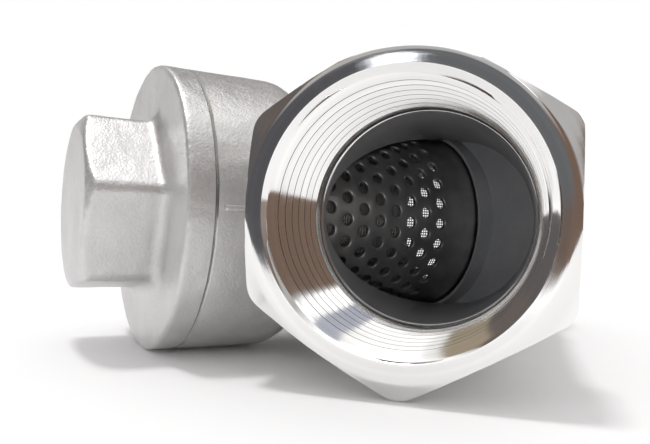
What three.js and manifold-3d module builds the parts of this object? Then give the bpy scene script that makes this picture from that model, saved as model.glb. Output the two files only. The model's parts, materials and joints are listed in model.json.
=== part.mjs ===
// Threaded Y strainer, size 1 inch (DN 25), lying on its side.
// Millimetres, +Z up. The pipe axis runs along Y with the outlet facing -Y, and the branch
// leaves the pipe axis at 45 degrees, towards -X and the outlet. The origin is the middle of
// the bounding box, at the surface that the strainer lies on.

import * as THREE from 'three';
import { mergeVertices } from 'three/addons/utils/BufferGeometryUtils.js';
import Module from 'manifold-3d';

// ---- Driving dimensions ------------------------------------------------------------------

// Pipe ends: 1 inch taper pipe thread, 11 threads per inch.
const FACE_TO_FACE = 90;
const HEX_ACROSS_FLATS = 37;
const HEX_LENGTH = 17;
const CORNER_RADIUS = 20.9;          // the hexagon's corners are turned down to this
const FACE_RADIUS = 18.75;           // the turned ring on each end face
const FACE_BEVEL = 0.6;              // how far the ring's outer edge falls back
const CORNER_FALL = 1.8;             // how far the corners fall back from the end face
const COUNTERSINK_RADIUS = 16.4;
const COUNTERSINK_DEPTH = 3.2;
const THREAD_RADIUS = 15.5;          // mean radius at the mouth of the thread
const THREAD_TAPER = 1 / 32;         // radius lost per length, 1 in 16 on the diameter
const THREAD_DEPTH = 18.7;
const PORT_RADIUS = 14.5;
const PORT_STEP = 0.5;               // length of the slope from the thread's end to the port
const BARREL_RADIUS = 17.8;
const COLLAR_SLOPE = 2.5;            // length of the slope from a hexagon to the barrel

// Branch: distances are measured from the pipe axis along the branch axis.
const CROSSING_FROM_OUTLET = 57;
const BRANCH_ANGLE = Math.PI / 4;
const CHAMBER_RADIUS = 15.7;
const NECK_RADIUS = 18.4;
const BOSS_RADIUS = 20.9;
const BOSS_START = 38;
const BOSS_ROUNDING = 5;
const BOSS_EDGE = 0.4;               // bevel at the rim of the boss
const BRANCH_FACE = 54.25;
const CAP_BORE_RADIUS = 17.6;
const CAP_BORE_START = 42;
const CAP_BORE_BEVEL = 0.3;

// Partition between the inlet and the chamber, with the socket that the screen sits in.
const PARTITION_INLET_SIDE = 1.5;
const PARTITION_CHAMBER_SIDE = 4.5;
const SOCKET_TOP = 7.2;
const SOCKET_RADIUS = 16.4;
const SEAT_RADIUS = 12.9;

// Screen and its wire mesh liner.
const SCREEN_RADIUS = 15;
const SCREEN_THICKNESS = 0.7;
const SCREEN_END = 53.5;
const LINER_THICKNESS = 0.5;
const LINER_SETBACK = 0.5;           // the liner is this much shorter at each end
const FIT_GAP = 0.35;                // space between neighbouring pieces

// Gasket, in its recess in the branch face.
const RECESS_RADIUS = 19.4;
const RECESS_FLOOR = 53;
const GASKET_THICKNESS = 0.9;
const GASKET_OUTER_RADIUS = 19.1;
const GASKET_INNER_RADIUS = 17.9;

// Cap.
const FLANGE_THICKNESS = 3.5;
const FLANGE_EDGE = 0.7;             // rounding of the flange's rim
const SHANK_LENGTH = 9.5;
const SHANK_CLEARANCE = 0.4;
const SHANK_WALL = 1.8;
const CAP_ROOF = 0.5;                // how much less than the flange face the pocket reaches
const HEAD_ACROSS_FLATS = 23;
const HEAD_LENGTH = 10.5;
const HEAD_CORNER_ROUNDING = 1.6;
const HEAD_CORNER_FALL = 1.2;        // how far the corners fall back from the end of the head
const HEAD_TURN = THREE.MathUtils.degToRad(9.7);

const TURN_SEGMENTS = 64;

// ---- Materials ---------------------------------------------------------------------------

const castSteel = new THREE.MeshStandardMaterial({ color: 0xb4b2b0, roughness: 0.55, metalness: 1 });
const capSteel = new THREE.MeshStandardMaterial({ color: 0xc0bfbe, roughness: 0.5, metalness: 1 });
const sheetSteel = new THREE.MeshStandardMaterial({ color: 0x8c8a88, roughness: 0.4, metalness: 1 });
const wireSteel = new THREE.MeshStandardMaterial({ color: 0xa3a19f, roughness: 0.35, metalness: 1 });
const sealWhite = new THREE.MeshStandardMaterial({ color: 0xe6e3dc, roughness: 0.6, metalness: 0 });

// ---- Solids: joining and cutting ---------------------------------------------------------

const wasm = await Module();
wasm.setup();

/** A closed three.js geometry as a solid. */
function toSolid(geometry) {
  const bare = geometry.index ? geometry.toNonIndexed() : geometry.clone();
  bare.deleteAttribute('normal');
  bare.deleteAttribute('uv');
  const merged = mergeVertices(bare, 1e-4);
  return new wasm.Manifold(new wasm.Mesh({
    numProp: 3,
    vertProperties: new Float32Array(merged.attributes.position.array),
    triVerts: new Uint32Array(merged.index.array),
  }));
}

/** A solid as a three.js geometry. */
function toGeometry(solid) {
  const mesh = solid.getMesh();
  const geometry = new THREE.BufferGeometry();
  geometry.setAttribute('position', new THREE.BufferAttribute(mesh.vertProperties, 3));
  geometry.setIndex(new THREE.BufferAttribute(mesh.triVerts, 1));
  geometry.computeVertexNormals();
  return geometry;
}

/** A turned solid about +Z from [radius, height] pairs that begin and end on the axis. */
function turned(profile) {
  const points = profile.map(([radius, height]) => new THREE.Vector2(radius, height));
  return toSolid(new THREE.LatheGeometry(points, TURN_SEGMENTS).rotateX(Math.PI / 2));
}

/** A plain round bar about +Z between two heights. */
function bar(radius, from, to) {
  return turned([[0, from], [radius, from], [radius, to], [0, to]]);
}

/** A ring about +Z between two heights. */
function ring(outer, inner, from, to) {
  return bar(outer, from, to).subtract(bar(inner, from - 1, to + 1));
}

/** Points of an arc from one angle to another, as [radius, height] pairs. */
function arc(centreRadius, centreHeight, radius, fromAngle, toAngle, steps = 5) {
  const points = [];
  for (let i = 0; i <= steps; i += 1) {
    const angle = fromAngle + ((toAngle - fromAngle) * i) / steps;
    points.push([centreRadius + radius * Math.cos(angle), centreHeight + radius * Math.sin(angle)]);
  }
  return points;
}

/** A hexagonal bar about +Z with a corner on +X turned by the given angle. */
function hexagonBar(acrossFlats, from, to, turn, cornerRounding = 0) {
  const outline = new THREE.Shape();
  const cornerAngle = Math.PI / 3;
  const cornerDistance = (acrossFlats / 2 - cornerRounding) / Math.cos(cornerAngle / 2);
  for (let i = 0; i < 6; i += 1) {
    const angle = turn + i * cornerAngle;
    const x = cornerDistance * Math.cos(angle);
    const y = cornerDistance * Math.sin(angle);
    if (cornerRounding > 0) {
      outline.absarc(x, y, cornerRounding, angle - cornerAngle / 2, angle + cornerAngle / 2, false);
    } else if (i === 0) {
      outline.moveTo(x, y);
    } else {
      outline.lineTo(x, y);
    }
  }
  outline.closePath();
  const geometry = new THREE.ExtrudeGeometry(outline, {
    depth: to - from, bevelEnabled: false, curveSegments: 4,
  });
  return toSolid(geometry.translate(0, 0, from));
}

// ---- Placing along the pipe and along the branch -----------------------------------------

// Pipe-end solids are made about +Z from the end face inwards, then laid along the pipe axis.
const outletPlace = new THREE.Matrix4().makeRotationX(-Math.PI / 2);
const inletPlace = new THREE.Matrix4()
  .makeTranslation(0, FACE_TO_FACE, 0)
  .multiply(new THREE.Matrix4().makeRotationX(Math.PI / 2));

// Branch solids are made about +Z from the crossing outwards.
const branchPlace = new THREE.Matrix4()
  .makeTranslation(0, CROSSING_FROM_OUTLET, 0)
  .multiply(new THREE.Matrix4().makeRotationZ(-BRANCH_ANGLE))
  .multiply(new THREE.Matrix4().makeRotationX(Math.PI / 2));

/** A solid moved by a three.js matrix. */
function placed(solid, matrix) {
  return toSolid(toGeometry(solid).applyMatrix4(matrix));
}

// ---- Body --------------------------------------------------------------------------------

/** The outside of one pipe end: a hexagon, corners turned down, sloping into the barrel. */
function pipeEnd() {
  const slopeEnd = HEX_LENGTH + COLLAR_SLOPE;
  const envelope = turned([
    [0, 0],
    [FACE_RADIUS - FACE_BEVEL, 0],
    [FACE_RADIUS, FACE_BEVEL],
    [CORNER_RADIUS, CORNER_FALL],
    [CORNER_RADIUS, HEX_LENGTH - 1],
    [BARREL_RADIUS, slopeEnd],
    [0, slopeEnd],
  ]);
  return hexagonBar(HEX_ACROSS_FLATS, 0, slopeEnd, Math.PI / 2).intersect(envelope);
}

/** The cut for one threaded mouth: countersink, taper bore, port down to the given depth. */
function mouthCut(portDepth) {
  const flare = (COUNTERSINK_RADIUS - THREAD_RADIUS) / COUNTERSINK_DEPTH;
  const threadEnd = THREAD_RADIUS - (THREAD_DEPTH - COUNTERSINK_DEPTH) * THREAD_TAPER;
  return turned([
    [0, -1],
    [COUNTERSINK_RADIUS + flare, -1],
    [THREAD_RADIUS, COUNTERSINK_DEPTH],
    [threadEnd, THREAD_DEPTH],
    [PORT_RADIUS, THREAD_DEPTH + PORT_STEP],
    [PORT_RADIUS, portDepth],
    [0, portDepth],
  ]);
}

/** A large block on one side of a plane across the branch axis. */
function branchHalfSpace(from, to) {
  const reach = 160;
  const block = new THREE.BoxGeometry(reach, reach, to - from);
  return toSolid(block.translate(0, 0, (from + to) / 2).applyMatrix4(branchPlace));
}

/** The branch's outside: a neck that swells into a round boss. */
function branchOutside() {
  const centreRadius = BOSS_RADIUS - BOSS_ROUNDING;
  const shoulderAngle = Math.acos((NECK_RADIUS - centreRadius) / BOSS_ROUNDING);
  const centreHeight = BOSS_START + BOSS_ROUNDING * Math.sin(shoulderAngle);
  const boss = turned([
    [0, 0],
    [NECK_RADIUS, 0],
    ...arc(centreRadius, centreHeight, BOSS_ROUNDING, -shoulderAngle, 0),
    [BOSS_RADIUS, BRANCH_FACE - BOSS_EDGE],
    [BOSS_RADIUS - BOSS_EDGE, BRANCH_FACE],
    [0, BRANCH_FACE],
  ]);
  return placed(boss, branchPlace);
}

/** The space for the screen, the cap's bore and the gasket's recess. */
function chamberCut() {
  return placed(turned([
    [0, SOCKET_TOP],
    [CHAMBER_RADIUS, SOCKET_TOP],
    [CHAMBER_RADIUS, CAP_BORE_START],
    [CAP_BORE_RADIUS, CAP_BORE_START],
    [CAP_BORE_RADIUS, RECESS_FLOOR - CAP_BORE_BEVEL],
    [CAP_BORE_RADIUS + CAP_BORE_BEVEL, RECESS_FLOOR],
    [RECESS_RADIUS, RECESS_FLOOR],
    [RECESS_RADIUS, BRANCH_FACE + 1],
    [0, BRANCH_FACE + 1],
  ]), branchPlace);
}

function makeBody() {
  const barrel = placed(bar(BARREL_RADIUS, HEX_LENGTH, FACE_TO_FACE - HEX_LENGTH), outletPlace);
  const chamberEnd = new THREE.SphereGeometry(NECK_RADIUS, 32, 16)
    .translate(0, CROSSING_FROM_OUTLET, 0);
  const casting = placed(pipeEnd(), outletPlace)
    .add(placed(pipeEnd(), inletPlace))
    .add(barrel)
    .add(toSolid(chamberEnd))
    .add(branchOutside());

  const far = 200;
  const socketTop = SOCKET_TOP + 1;
  const socketRing = placed(
    ring(SOCKET_RADIUS, SEAT_RADIUS, PARTITION_CHAMBER_SIDE, SOCKET_TOP), branchPlace,
  );
  const outletWay = placed(mouthCut(FACE_TO_FACE - THREAD_DEPTH), outletPlace)
    .intersect(branchHalfSpace(PARTITION_CHAMBER_SIDE, far))
    .subtract(socketRing);
  const inletWay = placed(mouthCut(FACE_TO_FACE - THREAD_DEPTH), inletPlace)
    .intersect(branchHalfSpace(-far, PARTITION_INLET_SIDE));
  const socket = placed(
    bar(SCREEN_RADIUS + FIT_GAP, PARTITION_CHAMBER_SIDE, socketTop), branchPlace,
  );
  const seatHole = placed(bar(SEAT_RADIUS, PARTITION_INLET_SIDE - 2, socketTop), branchPlace);
  return casting
    .subtract(outletWay)
    .subtract(inletWay)
    .subtract(chamberCut())
    .subtract(socket)
    .subtract(seatHole);
}

// ---- Screen ------------------------------------------------------------------------------

const screenStart = PARTITION_CHAMBER_SIDE + FIT_GAP;

function makeScreenTube() {
  return ring(SCREEN_RADIUS, SCREEN_RADIUS - SCREEN_THICKNESS, screenStart, SCREEN_END);
}

function makeScreenMesh() {
  const outer = SCREEN_RADIUS - SCREEN_THICKNESS - FIT_GAP;
  return ring(
    outer, outer - LINER_THICKNESS, screenStart + LINER_SETBACK, SCREEN_END - LINER_SETBACK,
  );
}

// ---- Gasket and cap ----------------------------------------------------------------------

const flangeStart = BRANCH_FACE + FIT_GAP;
const flangeEnd = flangeStart + FLANGE_THICKNESS;

function makeGasket() {
  const from = RECESS_FLOOR + FIT_GAP;
  return ring(GASKET_OUTER_RADIUS, GASKET_INNER_RADIUS, from, from + GASKET_THICKNESS);
}

function makeCap() {
  const headEnd = flangeEnd + HEAD_LENGTH;
  const shankRadius = CAP_BORE_RADIUS - SHANK_CLEARANCE;
  const rimCentre = BOSS_RADIUS - FLANGE_EDGE;
  const flange = turned([
    [0, flangeStart],
    [rimCentre, flangeStart],
    ...arc(rimCentre, flangeStart + FLANGE_EDGE, FLANGE_EDGE, -Math.PI / 2, 0, 3),
    ...arc(rimCentre, flangeEnd - FLANGE_EDGE, FLANGE_EDGE, 0, Math.PI / 2, 3),
    [0, flangeEnd],
  ]);
  const shank = bar(shankRadius, flangeStart - SHANK_LENGTH, flangeStart + 1);
  const pocket = bar(
    shankRadius - SHANK_WALL, flangeStart - SHANK_LENGTH - 1, flangeStart - CAP_ROOF,
  );
  const headRadius = HEAD_ACROSS_FLATS / 2 / Math.cos(Math.PI / 6);
  const headEnvelope = turned([
    [0, flangeEnd - 1],
    [headRadius + 1, flangeEnd - 1],
    [headRadius + 1, headEnd - HEAD_CORNER_FALL],
    [headRadius - HEAD_CORNER_FALL, headEnd],
    [0, headEnd],
  ]);
  const head = hexagonBar(
    HEAD_ACROSS_FLATS, flangeEnd - 1, headEnd, HEAD_TURN, HEAD_CORNER_ROUNDING,
  ).intersect(headEnvelope);
  return flange.add(shank).subtract(pocket).add(head);
}

// ---- Assembly ----------------------------------------------------------------------------

function namedMesh(name, solid, material) {
  const mesh = new THREE.Mesh(toGeometry(solid), material);
  mesh.name = name;
  return mesh;
}

const branch = new THREE.Group();
branch.applyMatrix4(branchPlace);
branch.add(
  namedMesh('screen_tube', makeScreenTube(), sheetSteel),
  namedMesh('screen_mesh', makeScreenMesh(), wireSteel),
  namedMesh('gasket', makeGasket(), sealWhite),
  namedMesh('cap', makeCap(), capSteel),
);

const strainer = new THREE.Group();
strainer.add(namedMesh('body', makeBody(), castSteel), branch);

// Put the origin under the middle of the bounding box.
strainer.updateMatrixWorld(true);
const extent = new THREE.Box3().setFromObject(strainer, true);
const middle = extent.getCenter(new THREE.Vector3());
strainer.position.set(-middle.x, -middle.y, -extent.min.z);

const group = new THREE.Group();
group.add(strainer);
export default group;
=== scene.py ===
"""Threaded Y strainer, size 1 inch: the visual model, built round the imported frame.

Shapes are made in millimetres in the row's axes and scaled to metres at the end. Solids made
about +Z are laid along the pipe or along the branch by three placing matrices.
"""
import json
import math

import bmesh
import bpy
from mathutils import Matrix, Vector, noise


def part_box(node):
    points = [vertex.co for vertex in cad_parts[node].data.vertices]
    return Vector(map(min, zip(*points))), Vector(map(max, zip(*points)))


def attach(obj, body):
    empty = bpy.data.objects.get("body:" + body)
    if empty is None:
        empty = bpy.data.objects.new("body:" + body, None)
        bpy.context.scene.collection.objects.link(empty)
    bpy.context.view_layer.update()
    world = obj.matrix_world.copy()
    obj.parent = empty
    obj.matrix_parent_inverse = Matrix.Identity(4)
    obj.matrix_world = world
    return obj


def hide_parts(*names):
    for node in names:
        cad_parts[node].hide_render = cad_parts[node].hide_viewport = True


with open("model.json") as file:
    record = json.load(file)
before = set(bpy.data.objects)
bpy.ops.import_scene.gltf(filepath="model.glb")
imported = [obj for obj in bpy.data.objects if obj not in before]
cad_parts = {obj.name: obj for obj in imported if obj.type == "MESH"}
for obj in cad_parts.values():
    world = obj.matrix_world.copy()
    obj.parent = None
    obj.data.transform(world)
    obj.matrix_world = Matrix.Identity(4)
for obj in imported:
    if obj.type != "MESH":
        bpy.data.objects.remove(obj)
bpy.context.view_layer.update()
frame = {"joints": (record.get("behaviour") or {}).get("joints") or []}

MM = 0.001
TAU = 2 * math.pi

# ---- Places, read from the frame -----------------------------------------------------------

HEX_ACROSS_FLATS = 37.0
body_low, body_high = (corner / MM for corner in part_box("body"))
pipe_x = body_high.x - HEX_ACROSS_FLATS / 2
pipe_z = (body_low.z + body_high.z) / 2
outlet_y, inlet_y = body_low.y, body_high.y
FACE_TO_FACE = inlet_y - outlet_y

joints = {joint["name"]: joint for joint in frame["joints"]}
branch_axis = Vector(joints["cap_turn"]["axis"])
branch_point = Vector(joints["cap_turn"]["pos_m"]) / MM
crossing = branch_point + branch_axis * ((pipe_x - branch_point.x) / branch_axis.x)


def place_along(origin, axis, across):
    """A matrix that lays +Z along an axis from an origin, with +X along another direction."""
    along = axis.normalized()
    first = (across - along * across.dot(along)).normalized()
    second = along.cross(first)
    turn = Matrix((first, second, along)).transposed().to_4x4()
    return Matrix.Translation(origin) @ turn


OUTLET = place_along(Vector((pipe_x, outlet_y, pipe_z)), Vector((0, 1, 0)), Vector((1, 0, 0)))
INLET = place_along(Vector((pipe_x, inlet_y, pipe_z)), Vector((0, -1, 0)), Vector((1, 0, 0)))
BRANCH = place_along(crossing, branch_axis, Vector((1, -1, 0)))
MID_PLANE = place_along(crossing, Vector((0, 0, 1)), Vector((1, 0, 0)))

# ---- Dimensions in mm, close to those of the CAD model -------------------------------------

HEX_LENGTH = 17.0
HEX_CLEARANCE = 0.1  # the uneven cast skin adds about this much across the flats
CORNER_RADIUS = 20.9
FACE_RADIUS = 18.75
FACE_INNER_RADIUS = 16.4
FACE_BEVEL = 0.45
FACE_CROWN_POWER = 6  # how late the flat face starts to roll back towards its edge
CORNER_FALL = 1.8
CORNER_SLOPE = (CORNER_FALL - FACE_BEVEL) / (CORNER_RADIUS - FACE_RADIUS)
COUNTERSINK_RADIUS = 16.4
GROOVE_LIMIT_RADIUS = 16.37  # keeps the first thread groove inside the face
THREAD_CREST_RADIUS = 15.2
THREAD_HEIGHT = 1.25
THREAD_PITCH = 25.4 / 11
THREAD_TAPER = 1 / 32
THREAD_END = 18.7
THREAD_TOOL_END = 19.2
THREAD_RUN_OUT = 2.5
PORT_RADIUS = 14.5
BARREL_RADIUS = 17.8
COLLAR_END = 19.5

CHAMBER_RADIUS = 15.7
NECK_RADIUS = 18.4
BOSS_RADIUS = 20.9
BOSS_START = 38.0
BOSS_ROUNDING = 5.0
RIDGE_HEIGHT = 0.6
RIDGE_WIDTH = 0.9
BRANCH_FACE = 54.48
CAP_BORE_RADIUS = 17.6
CAP_BORE_START = 42.0
CAP_BORE_RUN_IN = 1.5
RECESS_RADIUS = 19.4
RECESS_FLOOR = 53.0
PARTITION_INLET_SIDE = 1.5
PARTITION_CHAMBER_SIDE = 4.5
SOCKET_TOP = 7.2
SOCKET_RADIUS = 15.9
SEAT_RADIUS = 12.9
SOCKET_PLAY = 0.35

SCREEN_RADIUS = 15.0
SCREEN_THICKNESS = 0.7
SCREEN_START = 4.85
SCREEN_END = 53.5
LINER_RADIUS = 13.7
LINER_START = 5.35
LINER_END = 53.0

GASKET_OUTER_RADIUS = 19.1
GASKET_INNER_RADIUS = 17.9
GASKET_START = 53.1
GASKET_END = 54.5
GASKET_EDGE = 0.15

FLANGE_START = 54.6
FLANGE_END = 58.1
HEAD_ACROSS_FLATS = 23.0
HEAD_END = 68.6
HEAD_CORNER_CUT = 0.35
HEAD_CORNER_FALL = 0.9
HEAD_END_CUT = 2.2
HEAD_TURN = math.radians(9.7)
# The fillet at the foot of the head, in steps: how far each reaches out, and up.
HEAD_FOOT = ((1.1, 0.2), (0.6, 0.45), (0.25, 0.8))
SHANK_RADIUS = 17.2
SHANK_START = 45.1
SHANK_WALL = 1.8
SHANK_THREAD_RAMP = 0.8  # length over which the shank's thread starts and ends
SHANK_THREAD_END = 52.1
SHANK_NECK_START = 53.7
CAP_THREAD_PITCH = 1.5
CAP_THREAD_HEIGHT = 0.8

# ---- Mesh tools ----------------------------------------------------------------------------


def mesh_object(name, vertices, faces, place, material):
    """A closed mesh object, its normals pointing outwards."""
    mesh = bpy.data.meshes.new(name)
    mesh.from_pydata([tuple(v) for v in vertices], [], faces)
    mesh.transform(place)
    mesh.materials.append(material)
    work = bmesh.new()
    work.from_mesh(mesh)
    bmesh.ops.remove_doubles(work, verts=work.verts, dist=1e-4)
    bmesh.ops.recalc_face_normals(work, faces=work.faces)
    work.to_mesh(mesh)
    work.free()
    obj = bpy.data.objects.new(name, mesh)
    bpy.context.scene.collection.objects.link(obj)
    return obj


def apply_modifiers(obj):
    """Bakes an object's modifiers into its mesh."""
    shape = obj.evaluated_get(bpy.context.evaluated_depsgraph_get())
    mesh = bpy.data.meshes.new_from_object(shape)
    obj.modifiers.clear()
    obj.data = mesh
    return obj


def combine(target, tool, operation):
    """Joins, cuts or intersects a target with a tool, which is used up."""
    modifier = target.modifiers.new("combine", "BOOLEAN")
    modifier.operation = operation
    modifier.solver = "MANIFOLD"
    modifier.object = tool
    modifier.material_mode = "TRANSFER"
    apply_modifiers(target)
    bpy.data.objects.remove(tool)
    return target


def join(target, tool):
    """Adds a tool to a target."""
    return combine(target, tool, "UNION")


def cut(target, tool):
    """Takes a tool out of a target."""
    return combine(target, tool, "DIFFERENCE")


def common(target, tool):
    """Keeps what a target and a tool share."""
    return combine(target, tool, "INTERSECT")


def cast(obj, voxel, rounds, swell=0.05):
    """Gives a solid the soft edges, the fillets and the slightly uneven skin of a casting."""
    remesh = obj.modifiers.new("remesh", "REMESH")
    remesh.mode = "VOXEL"
    remesh.voxel_size = voxel
    smooth = obj.modifiers.new("smooth", "SMOOTH")
    smooth.factor = 0.5
    smooth.iterations = rounds
    apply_modifiers(obj)
    moved = []
    for vertex in obj.data.vertices:
        wave = noise.noise(vertex.co / 3.1) + 0.5 * noise.noise(vertex.co / 1.3)
        moved.extend(vertex.co + vertex.normal * (wave - 0.7) * swell)
    obj.data.vertices.foreach_set("co", moved)
    obj.data.update()
    return obj


ROUND_SEGMENTS = 192


def turned(name, profile, place, material):
    """A turned solid from (radius, height) pairs that begin and end on the axis."""
    vertices, rows = [], []
    for radius, height in profile:
        if radius < 1e-6:
            rows.append([len(vertices)] * ROUND_SEGMENTS)
            vertices.append((0, 0, height))
            continue
        rows.append(range(len(vertices), len(vertices) + ROUND_SEGMENTS))
        for i in range(ROUND_SEGMENTS):
            angle = TAU * i / ROUND_SEGMENTS
            vertices.append((radius * math.cos(angle), radius * math.sin(angle), height))
    faces = []
    for low, high in zip(rows, rows[1:]):
        for i in range(ROUND_SEGMENTS):
            j = (i + 1) % ROUND_SEGMENTS
            corners = [low[i], low[j], high[j], high[i]]
            faces.append(list(dict.fromkeys(corners)))
    return mesh_object(name, vertices, faces, place, material)


def bar(name, radius, start, end, place, material):
    """A plain round bar between two heights."""
    return turned(name, [(0, start), (radius, start), (radius, end), (0, end)], place, material)


def ring(name, outer, inner, start, end, place, material, edge=0.0):
    """A ring with bevelled edges, as one closed band."""
    profile = [
        (inner + edge, start), (outer - edge, start), (outer, start + edge),
        (outer, end - edge), (outer - edge, end), (inner + edge, end),
        (inner, end - edge), (inner, start + edge),
    ]
    turns = [TAU * i / ROUND_SEGMENTS for i in range(ROUND_SEGMENTS)]
    vertices = [
        (radius * math.cos(turn), radius * math.sin(turn), height)
        for turn in turns for radius, height in profile
    ]
    count = len(profile)
    faces = []
    for i in range(ROUND_SEGMENTS):
        here, there = i * count, ((i + 1) % ROUND_SEGMENTS) * count
        for k in range(count):
            after = (k + 1) % count
            faces.append([here + k, there + k, there + after, here + after])
    return mesh_object(name, vertices, faces, place, material)


def arc(centre_radius, centre_height, radius, start, end, steps=10):
    """Points of an arc, as (radius, height) pairs."""
    return [
        (
            centre_radius + radius * math.cos(start + (end - start) * i / steps),
            centre_height + radius * math.sin(start + (end - start) * i / steps),
        )
        for i in range(steps + 1)
    ]


def hexagon_bar(name, across_flats, start, end, turn, place, material):
    """A hexagonal bar between two heights, with a corner at the angle of turn."""
    corner = across_flats / 2 / math.cos(TAU / 12)
    vertices = [
        (corner * math.cos(turn + TAU * i / 6), corner * math.sin(turn + TAU * i / 6), height)
        for height in (start, end) for i in range(6)
    ]
    faces = [[5, 4, 3, 2, 1, 0], [6, 7, 8, 9, 10, 11]]
    faces += [[i, (i + 1) % 6, 6 + (i + 1) % 6, 6 + i] for i in range(6)]
    return mesh_object(name, vertices, faces, place, material)


BEYOND = 150  # reaches past the whole part


def slab(name, start, end, place, material):
    """A wide block between two planes across the placing axis."""
    vertices = [
        (x * BEYOND, y * BEYOND, height) for height in (start, end)
        for x, y in ((-1, -1), (1, -1), (1, 1), (-1, 1))
    ]
    faces = [
        [3, 2, 1, 0], [4, 5, 6, 7], [0, 1, 5, 4], [1, 2, 6, 5], [2, 3, 7, 6], [3, 0, 4, 7],
    ]
    return mesh_object(name, vertices, faces, place, material)


ROWS_PER_TURN = 12
COLUMNS_ROUND = 144


def limit(value):
    """A value held between 0 and 1."""
    return min(max(value, 0.0), 1.0)


def thread_form(phase):
    """Height of a thread from root (0) to crest (1), over one pitch: straight flanks."""
    from_root = abs((phase + 0.5 / ROWS_PER_TURN) % 1.0 - 0.5) * 2
    return limit(1.2 * from_root - 0.1)


def threaded(name, start, end, pitch, radius_at, place, material):
    """A solid with a right-handed thread. radius_at(height, form) gives its radius.

    The rows of the mesh follow the helix, so that crests and roots stay crisp. The last column
    joins the first a whole turn further on.
    """
    step = pitch / ROWS_PER_TURN
    last = ROWS_PER_TURN + math.ceil((end - start) / step)
    vertices = []
    for column in range(COLUMNS_ROUND):
        angle = TAU * column / COLUMNS_ROUND
        for row in range(last + 1):
            helix = row - ROWS_PER_TURN + ROWS_PER_TURN * column / COLUMNS_ROUND
            height = min(max(start + helix * step, start), end)
            form = thread_form((height - start) / pitch - column / COLUMNS_ROUND)
            radius = radius_at(height, form)
            vertices.append((radius * math.cos(angle), radius * math.sin(angle), height))
    faces = []
    for column in range(COLUMNS_ROUND):
        here = column * (last + 1)
        wraps = column == COLUMNS_ROUND - 1
        there = 0 if wraps else here + last + 1
        lead = ROWS_PER_TURN if wraps else 0
        for row in range(last):
            low, high = min(row + lead, last), min(row + 1 + lead, last)
            corners = [here + row, there + low, there + high, here + row + 1]
            faces.append(list(dict.fromkeys(corners)))
    for row in range(ROWS_PER_TURN):
        faces.append([(COLUMNS_ROUND - 1) * (last + 1), row, row + 1])
    for row, height in ((0, start), (last, end)):
        middle = len(vertices)
        vertices.append((0, 0, height))
        for column in range(COLUMNS_ROUND):
            after = (column + 1) % COLUMNS_ROUND
            faces.append([column * (last + 1) + row, after * (last + 1) + row, middle])
    return mesh_object(name, vertices, faces, place, material)


def finish_piece(obj, body, replaced, sharp_angle=38):
    """Scales a piece to metres, sets its shading, and ties it to the frame."""
    obj.data.transform(Matrix.Scale(MM, 4))
    obj.data.shade_smooth()
    obj.data.set_sharp_from_angle(angle=math.radians(sharp_angle))
    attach(obj, body)
    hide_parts(replaced)
    return obj


# ---- Materials -----------------------------------------------------------------------------


class Nodes:
    """A short way to write the nodes of a material or of the world."""

    def __init__(self, owner):
        owner.use_nodes = True
        self.owner = owner
        self.tree = owner.node_tree
        self.shader = self.tree.nodes.get("Principled BSDF")

    def add(self, kind, inputs=None, **settings):
        """A new node with its settings, and its inputs set or linked."""
        node = self.tree.nodes.new(kind)
        for key, value in settings.items():
            setattr(node, key, value)
        for key, value in (inputs or {}).items():
            self.set(node, key, value)
        return node

    def set(self, node, key, value):
        """Links an output to a node's input, or sets the input's own value."""
        if isinstance(value, bpy.types.NodeSocket):
            self.tree.links.new(value, node.inputs[key])
        else:
            node.inputs[key].default_value = value

    def math(self, operation, first, second=0.0):
        node = self.add("ShaderNodeMath", {0: first, 1: second}, operation=operation)
        return node.outputs[0]

    def position(self):
        """The point on the piece, in metres."""
        return self.add("ShaderNodeTexCoord").outputs["Object"]

    def noise(self, size_mm, detail=2.0):
        """Noise with features of about a given size."""
        inputs = {"Vector": self.position(), "Scale": 1 / (size_mm * MM), "Detail": detail}
        return self.add("ShaderNodeTexNoise", inputs).outputs["Fac"]

    def spread(self, value, low, high, bottom=0.3, top=0.7):
        """Maps a value's middle range onto a low and a high number."""
        inputs = {0: value, 1: bottom, 2: top, 3: low, 4: high}
        return self.add("ShaderNodeMapRange", inputs).outputs[0]

    def blend(self, value, first, second):
        """A colour between two, by a value from 0 to 1."""
        ramp = self.add("ShaderNodeValToRGB", {"Fac": value})
        ramp.color_ramp.elements[0].position = 0.3
        ramp.color_ramp.elements[1].position = 0.7
        ramp.color_ramp.elements[0].color = (*first, 1)
        ramp.color_ramp.elements[1].color = (*second, 1)
        return ramp.outputs["Color"]

    def lines(self, path, size_mm, detail):
        """Noise along one path, for tool marks."""
        inputs = {"W": path, "Scale": 1 / (size_mm * MM), "Detail": detail}
        node = self.add("ShaderNodeTexNoise", inputs, noise_dimensions="1D")
        return node.outputs["Fac"]

    def mix(self, value, first, second):
        """A colour output between two colours, for the world."""
        node = self.add("ShaderNodeMix", {0: value, 6: first, 7: second}, data_type="RGBA")
        return node.outputs[2]

    def bump(self, height, distance_mm, below=None):
        """A bumped surface direction, on top of another one if that is given."""
        inputs = {"Height": height, "Distance": distance_mm * MM, "Strength": 1.0}
        if below is not None:
            inputs["Normal"] = below
        return self.add("ShaderNodeBump", inputs).outputs["Normal"]

    def around(self, place):
        """Distance along and away from a placing axis, in metres, and the way round it."""
        origin = place.translation * MM
        axis = (place.to_3x3() @ Vector((0, 0, 1))).normalized()
        offset = self.add("ShaderNodeVectorMath", {0: self.position(), 1: origin},
                          operation="SUBTRACT").outputs["Vector"]
        round_way = self.add("ShaderNodeVectorMath", {0: axis, 1: offset},
                             operation="CROSS_PRODUCT").outputs["Vector"]
        away = self.add("ShaderNodeVectorMath", {0: round_way}, operation="LENGTH")
        along = self.add("ShaderNodeVectorMath", {0: offset, 1: axis}, operation="DOT_PRODUCT")
        return along.outputs["Value"], away.outputs["Value"], round_way


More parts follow.
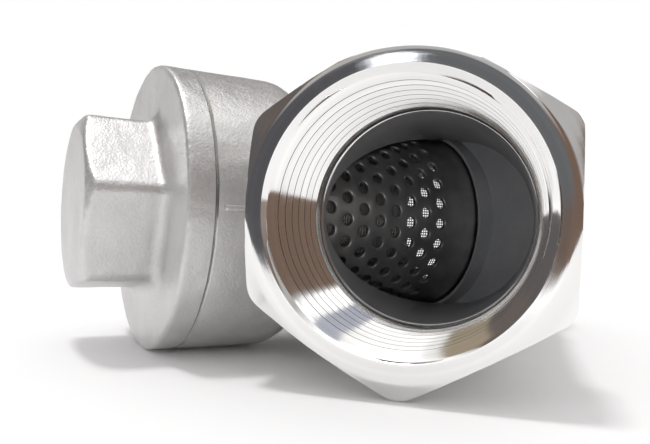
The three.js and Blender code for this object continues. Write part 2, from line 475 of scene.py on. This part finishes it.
def cast_steel(name, dark, light, roughness, metallic=0.75):
    """Bead-blasted stainless casting: fine sparkle, slow stains and an uneven skin."""
    m = Nodes(bpy.data.materials.new(name))
    grain = m.noise(0.32, detail=3)
    skin = m.noise(2.2)
    stain = m.noise(9.0, detail=3)
    mottle = m.math("ADD", m.math("MULTIPLY", stain, 0.6), m.math("MULTIPLY", grain, 0.4))
    m.set(m.shader, "Metallic", metallic)
    m.set(m.shader, "Base Color", m.blend(mottle, dark, light))
    m.set(m.shader, "Roughness", m.spread(grain, roughness - 0.08, roughness + 0.08))
    soft = m.bump(skin, 0.09)
    m.set(m.shader, "Normal", m.bump(grain, 0.06, soft))
    return m.owner


def turned_steel(name, place, dark, light, roughness, depth_mm):
    """Bright turned steel, with tool marks of some depth that run round the axis."""
    m = Nodes(bpy.data.materials.new(name))
    along, away, round_way = m.around(place)
    path = m.math("SUBTRACT", along, away)
    m.set(m.shader, "Metallic", 1.0)
    m.set(m.shader, "Base Color", m.blend(m.lines(path, 1.1, detail=1.0), dark, light))
    m.set(m.shader, "Roughness", m.spread(m.noise(3.0), roughness - 0.03, roughness + 0.04))
    m.set(m.shader, "Anisotropic", 0.6)
    m.set(m.shader, "Anisotropic Rotation", 0.25)
    m.set(m.shader, "Tangent", round_way)
    m.set(m.shader, "Normal", m.bump(m.lines(path, 0.16, detail=3.0), depth_mm))
    return m.owner


def sheet_steel():
    """Punched stainless sheet, dulled by handling."""
    m = Nodes(bpy.data.materials.new("punched sheet"))
    smear = m.noise(4.0, detail=3)
    m.set(m.shader, "Metallic", 1.0)
    m.set(m.shader, "Base Color", m.blend(smear, (0.46, 0.455, 0.45), (0.62, 0.61, 0.60)))
    m.set(m.shader, "Roughness", m.spread(m.noise(1.2), 0.30, 0.42))
    m.set(m.shader, "Normal", m.bump(m.noise(1.6), 0.03))
    return m.owner


def wire_steel():
    """Drawn stainless wire."""
    m = Nodes(bpy.data.materials.new("woven wire"))
    m.set(m.shader, "Metallic", 1.0)
    m.set(m.shader, "Base Color", m.blend(m.noise(2.0), (0.42, 0.42, 0.41), (0.58, 0.57, 0.56)))
    m.set(m.shader, "Roughness", m.spread(m.noise(0.6), 0.25, 0.38))
    return m.owner


def seal_plastic():
    """Smooth white fluoroplastic with a faint waxy mottle."""
    m = Nodes(bpy.data.materials.new("seal"))
    m.set(m.shader, "Base Color", m.blend(m.noise(1.5), (0.80, 0.79, 0.76), (0.88, 0.87, 0.84)))
    m.set(m.shader, "Roughness", m.spread(m.noise(0.8), 0.42, 0.55))
    m.set(m.shader, "Normal", m.bump(m.noise(0.5), 0.01))
    return m.owner


CAST = cast_steel("cast steel", (0.56, 0.55, 0.545), (0.73, 0.72, 0.71), 0.40)
CAST_CAP = cast_steel("cast steel of the cap", (0.54, 0.53, 0.53), (0.70, 0.69, 0.69), 0.40)
CAST_INSIDE = cast_steel(
    "cast steel inside", (0.33, 0.335, 0.345), (0.46, 0.465, 0.48), 0.5, metallic=0.2)
TURNED = turned_steel(
    "turned steel", OUTLET, (0.80, 0.795, 0.785), (0.91, 0.90, 0.89), 0.09, depth_mm=0.004)
TURNED_BRANCH = turned_steel(
    "turned steel of the branch", BRANCH, (0.55, 0.55, 0.54), (0.68, 0.67, 0.66), 0.24,
    depth_mm=0.01)
SHEET = sheet_steel()
WIRE = wire_steel()
SEAL = seal_plastic()

# ---- Body ----------------------------------------------------------------------------------


def pipe_end(name, place):
    """A hexagon left long for the turned face, its corners sloping into the barrel."""
    hexagon = hexagon_bar(
        name, HEX_ACROSS_FLATS - HEX_CLEARANCE, -4, COLLAR_END, TAU / 4, place, CAST)
    return common(hexagon, turned(name + " limit", [
        (0, -3), (CORNER_RADIUS, -3), (CORNER_RADIUS, HEX_LENGTH - 1),
        (BARREL_RADIUS, COLLAR_END), (0, COLLAR_END),
    ], place, CAST))


def branch_outside(proud=0.0):
    """A neck that swells into a round boss, left long for the turned face.

    The ridge is cut from the same shape, a little proud of it.
    """
    centre_radius = BOSS_RADIUS - BOSS_ROUNDING
    shoulder = math.acos((NECK_RADIUS - centre_radius) / BOSS_ROUNDING)
    centre_height = BOSS_START + BOSS_ROUNDING * math.sin(shoulder)
    return turned("branch outside", [
        (0, 0), (NECK_RADIUS + proud, 0),
        *arc(centre_radius, centre_height, BOSS_ROUNDING + proud, -shoulder, 0),
        (BOSS_RADIUS + proud, BRANCH_FACE + 2), (0, BRANCH_FACE + 2),
    ], BRANCH, CAST)


def parting_ridge():
    """The fine ridge that the mould halves leave along the branch, at half height."""
    ridge = branch_outside(RIDGE_HEIGHT)
    common(ridge, slab("ridge width", -RIDGE_WIDTH / 2, RIDGE_WIDTH / 2, MID_PLANE, CAST))
    common(ridge, slab("ridge length", 0, BRANCH_FACE - 1, BRANCH, CAST))
    return cast(ridge, voxel=0.25, rounds=6)


def face_tool(place):
    """Turns the flat ring on an end face, its outer edge rolled back."""
    width = FACE_RADIUS - FACE_INNER_RADIUS
    steps = 8
    crown = [
        (FACE_RADIUS - width * k / steps, FACE_BEVEL * (1 - k / steps) ** FACE_CROWN_POWER)
        for k in range(steps + 1)
    ]
    return turned("face tool", [
        (0, -8), (CORNER_RADIUS + 1, -8), (CORNER_RADIUS + 1, CORNER_FALL + CORNER_SLOPE),
        *crown, (0, 0),
    ], place, TURNED)


def mouth_radius(height, form):
    """Radius of the countersunk, threaded mouth at a depth from its face."""
    chamfer = COUNTERSINK_RADIUS - height
    crest = THREAD_CREST_RADIUS - THREAD_TAPER * height
    depth = THREAD_HEIGHT * limit((THREAD_TOOL_END - height) / THREAD_RUN_OUT)
    groove = min(crest + depth * (1 - form), GROOVE_LIMIT_RADIUS)
    return max(chamfer, groove)


def cap_bore_radius(height, form):
    """Radius of the tapped bore for the cap, whose thread starts after a plain length."""
    depth = CAP_THREAD_HEIGHT * limit((height - CAP_BORE_START - 1) / CAP_BORE_RUN_IN)
    return CAP_BORE_RADIUS + depth * (1 - form)


def make_body():
    """The body casting: cast outside first, then turned faces, threads and the ways through."""
    body = pipe_end("body_casting", OUTLET)
    join(body, pipe_end("inlet end", INLET))
    join(body, bar("barrel", BARREL_RADIUS, HEX_LENGTH, FACE_TO_FACE - HEX_LENGTH, OUTLET, CAST))
    round_end = [(0, -NECK_RADIUS), *arc(0, 0, NECK_RADIUS, -TAU / 4, TAU / 4, 48)[1:-1],
                 (0, NECK_RADIUS)]
    join(body, turned("chamber end", round_end, BRANCH, CAST))
    join(body, branch_outside())
    cast(body, voxel=0.64, rounds=4)
    join(body, parting_ridge())

    for place in (OUTLET, INLET):
        cut(body, face_tool(place))
        cut(body, threaded("mouth tool", -1, THREAD_TOOL_END, THREAD_PITCH, mouth_radius,
                           place, TURNED))
    cut(body, turned("branch face tool", [
        (0, BRANCH_FACE), (BOSS_RADIUS - 0.4, BRANCH_FACE), (BOSS_RADIUS + 0.6, BRANCH_FACE - 1),
        (BOSS_RADIUS + 0.6, BRANCH_FACE + 6), (0, BRANCH_FACE + 6),
    ], BRANCH, TURNED_BRANCH))

    port_end = FACE_TO_FACE - THREAD_END
    outlet_way = bar("outlet way", PORT_RADIUS, THREAD_END + 0.3, port_end, OUTLET, CAST_INSIDE)
    common(outlet_way, slab("outlet side", PARTITION_CHAMBER_SIDE, BEYOND, BRANCH, CAST_INSIDE))
    cut(outlet_way, ring("socket ring", SOCKET_RADIUS, SEAT_RADIUS, PARTITION_CHAMBER_SIDE - 1,
                         SOCKET_TOP, BRANCH, CAST_INSIDE))
    cut(body, outlet_way)
    inlet_way = bar("inlet way", PORT_RADIUS, THREAD_END + 0.3, port_end, INLET, CAST_INSIDE)
    common(inlet_way, slab("inlet side", -BEYOND, PARTITION_INLET_SIDE, BRANCH, CAST_INSIDE))
    cut(body, inlet_way)

    cut(body, bar("chamber", CHAMBER_RADIUS, SOCKET_TOP, CAP_BORE_START + 1, BRANCH, CAST_INSIDE))
    cut(body, bar("socket", SCREEN_RADIUS + SOCKET_PLAY, PARTITION_CHAMBER_SIDE, SOCKET_TOP + 1,
                  BRANCH, CAST_INSIDE))
    cut(body, bar("seat hole", SEAT_RADIUS, PARTITION_INLET_SIDE - 1, SOCKET_TOP + 1, BRANCH,
                  CAST_INSIDE))
    cut(body, threaded("cap thread tool", CAP_BORE_START, RECESS_FLOOR + 0.2, CAP_THREAD_PITCH,
                       cap_bore_radius, BRANCH, TURNED_BRANCH))
    cut(body, bar("gasket recess", RECESS_RADIUS, RECESS_FLOOR, BRANCH_FACE + 1, BRANCH,
                  TURNED_BRANCH))
    return finish_piece(body, "housing", "body")


# ---- Screen --------------------------------------------------------------------------------

HOLES_ROUND = 28
HOLE_COLUMNS = 13
COLUMN_STEP = 2.893
FIRST_COLUMN = 14.6
HOLE_RADIUS = 0.87
HOLE_LEAD = 0.04  # turns the pattern about the branch axis, in radians
POINTS_A_HOLE = 16


def on_tube(radius, arc_length, height):
    """A point on a tube round the branch axis, by the length of arc on the screen's outside."""
    angle = -arc_length / SCREEN_RADIUS - HOLE_LEAD
    return (radius * math.cos(angle), radius * math.sin(angle), height)


def rows_of_faces(first, rows, count):
    """Faces between rows of points that each run once round."""
    faces = []
    for row in range(rows - 1):
        low, high = first + row * count, first + (row + 1) * count
        for k in range(count):
            after = (k + 1) % count
            faces.append([low + k, low + after, high + after, high + k])
    return faces


def cell_outline(half_width, half_height):
    """Points round the rectangle that a hole sits in, evenly along its sides."""
    a_side = POINTS_A_HOLE // 4
    outline = []
    for k in range(POINTS_A_HOLE):
        side, along = divmod(k, a_side)
        run = 2 * along / a_side - 1
        x, y = [(1, run), (-run, 1), (-1, -run), (run, -1)][side]
        outline.append((x * half_width, y * half_height))
    return outline


def make_screen_tube():
    """A rolled sheet with staggered round holes, each with softly drawn edges."""
    inner = SCREEN_RADIUS - SCREEN_THICKNESS
    pitch = TAU * SCREEN_RADIUS / HOLES_ROUND
    outline = cell_outline(pitch / 2, COLUMN_STEP / 2)
    # The rows of points round a hole, from the tube's outside to its inside: how far from the
    # hole's middle (None is the edge of its cell), and how far from the tube's axis.
    loops = [
        (None, SCREEN_RADIUS), (HOLE_RADIUS + 0.22, SCREEN_RADIUS),
        (HOLE_RADIUS + 0.07, SCREEN_RADIUS - 0.05), (HOLE_RADIUS, SCREEN_RADIUS - 0.18),
        (HOLE_RADIUS, inner + 0.08), (HOLE_RADIUS + 0.06, inner), (None, inner),
    ]
    vertices, faces = [], []
    for column in range(HOLE_COLUMNS):
        height = FIRST_COLUMN + column * COLUMN_STEP
        for hole in range(HOLES_ROUND):
            centre = (hole + 0.5 * (column % 2)) * pitch
            first = len(vertices)
            for hole_radius, tube_radius in loops:
                for x, y in outline:
                    if hole_radius is not None:
                        turn = math.atan2(y, x)
                        x, y = hole_radius * math.cos(turn), hole_radius * math.sin(turn)
                    vertices.append(on_tube(tube_radius, centre + x, height + y))
            faces += rows_of_faces(first, len(loops), POINTS_A_HOLE)

    # The plain bands at the ends, with rounded edges.
    points = HOLES_ROUND * POINTS_A_HOLE // 4
    middle_radius = (SCREEN_RADIUS + inner) / 2
    half = SCREEN_THICKNESS / 2
    holes_start = FIRST_COLUMN - COLUMN_STEP / 2
    holes_end = holes_start + HOLE_COLUMNS * COLUMN_STEP
    for edge, end, way in ((holes_start, SCREEN_START, -1), (holes_end, SCREEN_END, 1)):
        rounding = arc(middle_radius, end - way * half, half, 0, way * TAU / 2, 6)
        profile = [(SCREEN_RADIUS, edge), *rounding, (inner, edge)]
        first = len(vertices)
        for radius, height in profile:
            for k in range(points):
                vertices.append(on_tube(radius, k * pitch * 4 / POINTS_A_HOLE, height))
        faces += rows_of_faces(first, len(profile), points)
    screen = mesh_object("punched_screen", vertices, faces, BRANCH, SHEET)
    return finish_piece(screen, "basket", "screen_tube", sharp_angle=50)


WIRES_ROUND = 206
WIRE_RINGS = 112
WIRE_RADIUS = 0.085
WIRE_INSET = 0.8  # how far, in wire radii, the lengthwise wires lie inside the liner's radius
RING_SEGMENTS = 103


def make_screen_mesh():
    """Fine wire cloth: straight lengthwise wires lie against the inside of close hoops."""
    vertices, faces = [], []
    section = [(WIRE_RADIUS, 0), (0, WIRE_RADIUS), (-WIRE_RADIUS, 0), (0, -WIRE_RADIUS)]
    reach = LINER_END - LINER_START - 2 * WIRE_RADIUS
    for j in range(WIRE_RINGS):
        height = LINER_START + WIRE_RADIUS + reach * j / (WIRE_RINGS - 1)
        first = len(vertices)
        for k in range(RING_SEGMENTS):
            angle = TAU * k / RING_SEGMENTS
            for out, up in section:
                radius = LINER_RADIUS + WIRE_RADIUS + out
                vertices.append((radius * math.cos(angle), radius * math.sin(angle), height + up))
        for k in range(RING_SEGMENTS):
            here, there = first + 4 * k, first + 4 * ((k + 1) % RING_SEGMENTS)
            for c in range(4):
                d = (c + 1) % 4
                faces.append([here + c, there + c, there + d, here + d])
    for i in range(WIRES_ROUND):
        angle = TAU * i / WIRES_ROUND
        outward = Vector((math.cos(angle), math.sin(angle), 0))
        across = Vector((-outward.y, outward.x, 0))
        first = len(vertices)
        for height in (LINER_START, LINER_END):
            centre = outward * (LINER_RADIUS - WIRE_INSET * WIRE_RADIUS) + Vector((0, 0, height))
            for direction in (outward, across, -outward, -across):
                vertices.append(centre + direction * WIRE_RADIUS)
        faces += [[first + c, first + (c + 1) % 4, first + 4 + (c + 1) % 4, first + 4 + c]
                  for c in range(4)]
        faces += [[first + 3, first + 2, first + 1, first], [first + c for c in range(4, 8)]]
    cloth = mesh_object("wire_cloth", vertices, faces, BRANCH, WIRE)
    return finish_piece(cloth, "basket", "screen_mesh", sharp_angle=100)


# ---- Gasket and cap ------------------------------------------------------------------------


def make_gasket():
    """A flat sealing ring that lies in the recess under the flange."""
    seal = ring("gasket_ring", GASKET_OUTER_RADIUS, GASKET_INNER_RADIUS, GASKET_START,
                GASKET_END, BRANCH, SEAL, edge=GASKET_EDGE)
    return finish_piece(seal, "seal", "gasket")


def shank_radius(height, form):
    """Radius of the shank: its thread fades in at the end and out before the plain neck."""
    if height >= SHANK_NECK_START:
        return SHANK_RADIUS - CAP_THREAD_HEIGHT
    starts = 1 - (height - SHANK_START) / SHANK_THREAD_RAMP
    ends = (height - SHANK_THREAD_END) / SHANK_THREAD_RAMP - 1
    return SHANK_RADIUS - CAP_THREAD_HEIGHT * max(1 - form, starts, ends)


def make_cap():
    """The screwed cap: flange and head cast in one, a turned face and a hollow shank."""
    flange = turned("screw_cap", [
        (0, FLANGE_START - 1.5), (BOSS_RADIUS, FLANGE_START - 1.5), (BOSS_RADIUS, FLANGE_END),
        (0, FLANGE_END),
    ], BRANCH, CAST_CAP)
    head = hexagon_bar("head", HEAD_ACROSS_FLATS, FLANGE_END - 1, HEAD_END, HEAD_TURN, BRANCH,
                       CAST_CAP)
    corner = HEAD_ACROSS_FLATS / 2 / math.cos(TAU / 12)
    limit_radius = corner - HEAD_CORNER_CUT
    common(head, turned("head limit", [
        (0, FLANGE_END - 2), (limit_radius, FLANGE_END - 2),
        (limit_radius, HEAD_END - HEAD_CORNER_FALL), (corner - HEAD_END_CUT, HEAD_END),
        (0, HEAD_END),
    ], BRANCH, CAST_CAP))
    cap = join(flange, head)
    for reach, rise in HEAD_FOOT:
        join(cap, hexagon_bar("head foot", HEAD_ACROSS_FLATS + 2 * reach, FLANGE_END - 1,
                              FLANGE_END + rise, HEAD_TURN, BRANCH, CAST_CAP))
    cast(cap, voxel=0.3, rounds=12)
    cut(cap, bar("cap face tool", BOSS_RADIUS + 3.1, FLANGE_START - 6, FLANGE_START, BRANCH,
                 TURNED_BRANCH))
    join(cap, threaded("shank", SHANK_START, FLANGE_START + 0.5, CAP_THREAD_PITCH, shank_radius,
                       BRANCH, TURNED_BRANCH))
    cut(cap, bar("pocket", SHANK_RADIUS - SHANK_WALL, SHANK_START - 1, FLANGE_START - 0.5, BRANCH,
                 TURNED_BRANCH))
    return finish_piece(cap, "cleanout", "cap")


make_body()
make_screen_tube()
make_screen_mesh()
make_gasket()
make_cap()

# ---- Floor, light and camera ---------------------------------------------------------------


def plain_material(name, colour, roughness):
    """One colour all over, set on the shader's own socket."""
    m = Nodes(bpy.data.materials.new(name))
    m.set(m.shader, "Base Color", (*colour, 1))
    m.set(m.shader, "Roughness", roughness)
    return m.owner


def make_floor():
    """A white table top that ends in front of the part."""
    reach = 4.0
    front = -0.25
    mesh = bpy.data.meshes.new("floor")
    corners = [(-reach, front, 0), (reach, front, 0), (reach, reach, 0), (-reach, reach, 0)]
    mesh.from_pydata(corners, [], [[0, 1, 2, 3]])
    mesh.materials.append(plain_material("floor", (0.92, 0.915, 0.915), 0.8))
    floor = bpy.data.objects.new("floor", mesh)
    bpy.context.scene.collection.objects.link(floor)


# How bright the room is from just above level (0) to nearly straight up (1).
ROOM_LEVELS = ((0.0, 0.95), (0.35, 0.52), (0.75, 0.50), (1.0, 1.6))
# Things in the room that the bright steel reflects: direction, reach in degrees, colour.
ROOM_PATCHES = (
    ((-0.87, -0.18, 0.44), 24, (0.14, 0.12, 0.11)),
    ((-0.04, 0.75, 0.67), 34, (0.15, 0.13, 0.13)),
    ((0.05, -0.95, 0.30), 15, (0.15, 0.155, 0.165)),
    ((-0.98, -0.15, 0.10), 22, (0.12, 0.11, 0.11)),
    ((0.72, -0.53, 0.43), 16, (0.19, 0.13, 0.10)),
    ((-0.14, -0.44, 0.89), 11, (1.3, 1.3, 1.3)),
    ((-0.57, -0.34, 0.74), 9, (0.36, 0.30, 0.22)),
    ((0.30, -0.47, 0.83), 7, (0.44, 0.46, 0.54)),
    ((0.46, -0.49, 0.73), 6, (1.4, 1.4, 1.4)),
)
PATCH_SOFTNESS = 0.07  # the part of a patch's reach over which its edge fades, each way


def make_world():
    """A grey room with a bright ceiling, a dark wall in front of the part and a few patches.

    The camera sees plain white, and soft light comes from an even, nearly white room. Only
    reflections see the grey levels, the wall and the patches.
    """
    world = bpy.data.worlds.new("studio")
    bpy.context.scene.world = world
    w = Nodes(world)
    aim = w.add("ShaderNodeTexCoord").outputs["Generated"]
    way = w.add("ShaderNodeSeparateXYZ", {0: aim})
    height = w.spread(way.outputs["Z"], 0, 1, 0.1, 0.95)
    levels = w.add("ShaderNodeValToRGB", {"Fac": height})
    stops = levels.color_ramp.elements
    for offset, _ in ROOM_LEVELS[1:-1]:
        stops.new(offset)
    for stop, (_, grey) in zip(stops, ROOM_LEVELS):
        stop.color = (grey, 0.99 * grey, 0.98 * grey, 1)

    in_front = w.spread(way.outputs["Y"], 1, 0, -0.4, -0.15)
    low = w.spread(way.outputs["Z"], 1, 0, 0.34, 0.5)
    side = w.spread(way.outputs["X"], 0, 1, -0.3, 0.3)
    wall = w.blend(side, (0.10, 0.10, 0.11), (0.19, 0.13, 0.10))
    room = w.mix(w.math("MULTIPLY", in_front, low), levels.outputs["Color"], wall)
    for middle, reach, colour in ROOM_PATCHES:
        toward = Vector(middle).normalized()
        nearness = w.add("ShaderNodeVectorMath", {0: aim, 1: toward}, operation="DOT_PRODUCT")
        outer = math.cos(math.radians((1 + PATCH_SOFTNESS) * reach))
        inner = math.cos(math.radians((1 - PATCH_SOFTNESS) * reach))
        patch = w.spread(nearness.outputs["Value"], 0, 1, outer, inner)
        room = w.mix(patch, room, (*colour, 1))

    path = w.add("ShaderNodeLightPath")
    lit = w.mix(path.outputs["Is Diffuse Ray"], room, (0.84, 0.835, 0.835, 1))
    seen = w.mix(path.outputs["Is Camera Ray"], lit, (1, 1, 1, 1))
    w.set(w.tree.nodes["Background"], "Color", seen)


def area_light(name, position, target, size, watts, colour=(1, 1, 1), shines=True):
    """A rectangle of light, seen in reflections only if it shines."""
    light = bpy.data.lights.new(name, "AREA")
    light.shape = "RECTANGLE"
    light.size, light.size_y = size
    light.energy = watts
    light.color = colour
    obj = bpy.data.objects.new(name, light)
    obj.location = position
    obj.rotation_euler = (Vector(target) - Vector(position)).to_track_quat("-Z", "Y").to_euler()
    obj.visible_glossy = shines
    bpy.context.scene.collection.objects.link(obj)


def sun_light(name, origin, spread, strength):
    """Even light from one direction, with soft shadows."""
    light = bpy.data.lights.new(name, "SUN")
    light.angle = math.radians(spread)
    light.energy = strength
    obj = bpy.data.objects.new(name, light)
    obj.rotation_euler = Vector(origin).to_track_quat("Z", "Y").to_euler()
    bpy.context.scene.collection.objects.link(obj)


def make_camera():
    """Close to the outlet, a little to its right, looking level.

    The place is measured from the middle of the outlet face, in metres.
    """
    centre = Vector((pipe_x, outlet_y, pipe_z)) * MM
    from_centre = Vector((0.01207, -0.07099, -0.00198))
    right = Vector((0.9591, 0.2791, 0.0411)).normalized()
    up = Vector((-0.0370, -0.0200, 0.9989)).normalized()
    back = right.cross(up)
    camera = bpy.data.cameras.new("camera")
    camera.sensor_width = 36
    camera.lens = 36.6
    camera.clip_start = 0.001
    obj = bpy.data.objects.new("camera", camera)
    turn = Matrix((right, up, back)).transposed().to_4x4()
    obj.matrix_world = Matrix.Translation(centre + from_centre) @ turn
    bpy.context.scene.collection.objects.link(obj)
    bpy.context.scene.camera = obj


make_floor()
make_world()
sun_light("overhead", (-0.16, -0.05, 1.0), spread=10, strength=1.1)
area_light("window", (-0.13, -0.80, 0.25), (0.02, -0.04, 0.03), (0.05, 0.05), 0.04,
           colour=(0.9, 0.94, 1.0))
area_light("side", (-0.45, -0.40, 0.05), (-0.02, -0.03, 0.02), (0.25, 0.10), 0.9, shines=False)
area_light("fill", (0.03, -0.20, 0.03), (0.01, 0.0, 0.02), (0.03, 0.03), 0.02, shines=False)
make_camera()
bpy.context.scene.view_settings.view_transform = "Standard"
